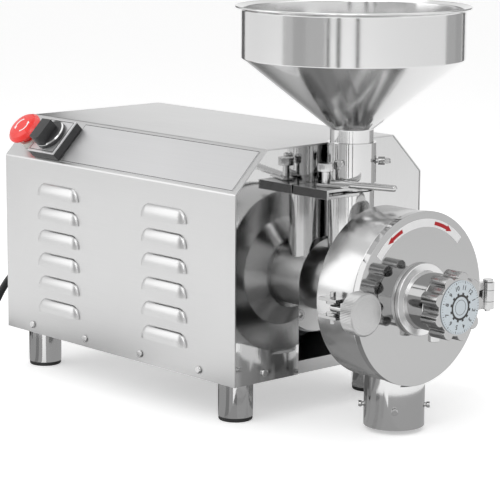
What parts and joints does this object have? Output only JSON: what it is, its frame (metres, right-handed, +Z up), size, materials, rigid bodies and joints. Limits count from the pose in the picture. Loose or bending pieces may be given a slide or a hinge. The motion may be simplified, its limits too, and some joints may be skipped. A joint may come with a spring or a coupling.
{
  "type": "powder grinder",
  "caption": "Electric powder grinder: motor in a stainless housing on legs, funnel hopper with a swing gate, round milling drum with a hinged cover, adjuster knob and spout.",
  "frame": {"origin": "middle of the footprint without the cord, on the table", "axes": "+X along the grinding axis towards the dial, +Y to the hinge side, +Z up"},
  "size_m": [0.836, 0.3564, 0.4397],
  "materials": {
    "polished_steel": "mirror polished stainless sheet and turned steel",
    "brushed_steel": "fine brushed stainless sheet",
    "grinding_iron": "ground iron with radial grooves",
    "motor_aluminium": "cast aluminium, grey",
    "label_metal": "satin plate, bare",
    "black_plastic": "moulded plastic",
    "black_rubber": "matt rubber",
    "red_plastic": "glossy moulded plastic",
    "grey_plastic": "moulded plastic",
    "dial_face": "printed plate, pale blue grey",
    "white_enamel": "thin white band"
  },
  "bodies": {
    "frame": {"base_pan": "brushed_steel", "housing_shell": "brushed_steel", "front_panel": "polished_steel", "rear_panel": "brushed_steel", "housing_screws": "polished_steel", "legs": "polished_steel", "foot_pads": "black_rubber", "motor_frame": "motor_aluminium", "stator": "brushed_steel", "front_bell": "motor_aluminium", "rear_bell": "motor_aluminium", "front_bearing": "brushed_steel", "rear_bearing": "brushed_steel", "fan_cowl": "black_plastic", "capacitor": "motor_aluminium", "neck": "polished_steel", "neck_bolts": "polished_steel", "drum": "polished_steel", "outlet": "polished_steel", "small_screws": "polished_steel", "gasket": "black_rubber", "clamp_fork": "polished_steel", "drum_hinge": "polished_steel", "hinge_pin": "polished_steel", "feed_tube": "polished_steel", "gate_box": "polished_steel", "hopper": "polished_steel", "label_plate": "label_metal", "switch_base": "black_plastic", "switch_plate": "brushed_steel", "stop_collar": "grey_plastic", "cord_gland": "black_plastic", "cord_lead": "black_rubber", "cord_coil": "black_rubber", "plug": "black_rubber"},
    "rotor": {"rotor": "brushed_steel", "cooling_fan": "black_plastic", "feed_auger": "brushed_steel", "rotor_plate": "polished_steel", "rotor_disc": "grinding_iron", "shaft_nut": "polished_steel"},
    "door": {"cover": "polished_steel", "adjuster_tube": "polished_steel", "arrow_band": "white_enamel", "cover_hinge": "polished_steel"},
    "adjuster": {"adjuster_spindle": "polished_steel", "star_knob": "polished_steel", "dial": "dial_face"},
    "fixed_burr": {"fixed_disc": "grinding_iron", "fixed_plate": "motor_aluminium"},
    "clamp": {"clamp_screw": "polished_steel", "clamp_knob": "polished_steel"},
    "lock_screw": {"lock_screw": "polished_steel"},
    "gate": {"gate_shutter": "polished_steel", "gate_lever": "polished_steel"},
    "wing_screw": {"wing_screw": "polished_steel"},
    "switch_knob": {"switch_knob": "black_plastic"},
    "stop_stem": {"stop_stem": "red_plastic"},
    "stop_head": {"stop_head": "red_plastic"}
  },
  "joints": [
    {"name": "shaft_spin", "type": "hinge", "parent": "frame", "child": "rotor", "pos_m": [0.11895, 0.00586, 0.144], "axis": [1, 0, 0], "continuous": true},
    {"name": "door_swing", "type": "hinge", "parent": "frame", "child": "door", "pos_m": [0.25145, 0.10986, 0.134], "axis": [0, 0, 1], "range_deg": [0, 120]},
    {"name": "adjuster_turn", "type": "hinge", "parent": "door", "child": "adjuster", "pos_m": [0.26895, 0.00586, 0.144], "axis": [1, 0, 0], "range_deg": [0, 330]},
    {"name": "burr_feed", "type": "slide", "parent": "door", "child": "fixed_burr", "axis": [1, 0, 0], "range_m": [-0.0014, 0]},
    {"name": "clamp_turn", "type": "hinge", "parent": "door", "child": "clamp", "pos_m": [0.25095, -0.09214, 0.144], "axis": [1, 0, 0], "continuous": true},
    {"name": "lock_turn", "type": "hinge", "parent": "door", "child": "lock_screw", "pos_m": [0.27115, 0.00586, 0.114], "axis": [0, 0, 1], "continuous": true},
    {"name": "gate_swing", "type": "hinge", "parent": "frame", "child": "gate", "pos_m": [0.14855, -0.03214, 0.248], "axis": [0, 0, 1], "range_deg": [-65, 0]},
    {"name": "wing_turn", "type": "hinge", "parent": "frame", "child": "wing_screw", "pos_m": [0.16976, 0.02707, 0.277], "axis": [0.7071, 0.7071, 0], "continuous": true},
    {"name": "switch_turn", "type": "hinge", "parent": "frame", "child": "switch_knob", "pos_m": [-0.20655, -0.11208, 0.26933], "axis": [0, -0.7031, 0.7111], "range_deg": [-90, 0]},
    {"name": "stop_press", "type": "slide", "parent": "frame", "child": "stop_stem", "axis": [0, 0.7031, -0.7111], "range_m": [0, 0.004], "stiffness_N_per_m": 800, "springref_m": -0.002},
    {"name": "stop_twist", "type": "hinge", "parent": "stop_stem", "child": "stop_head", "pos_m": [-0.25205, -0.11208, 0.26933], "axis": [0, -0.7031, 0.7111], "range_deg": [0, 30]}
  ],
  "couplings": [
    {"joint": "burr_feed", "follows": "adjuster_turn", "m_per_rad": -0.00023873}
  ]
}
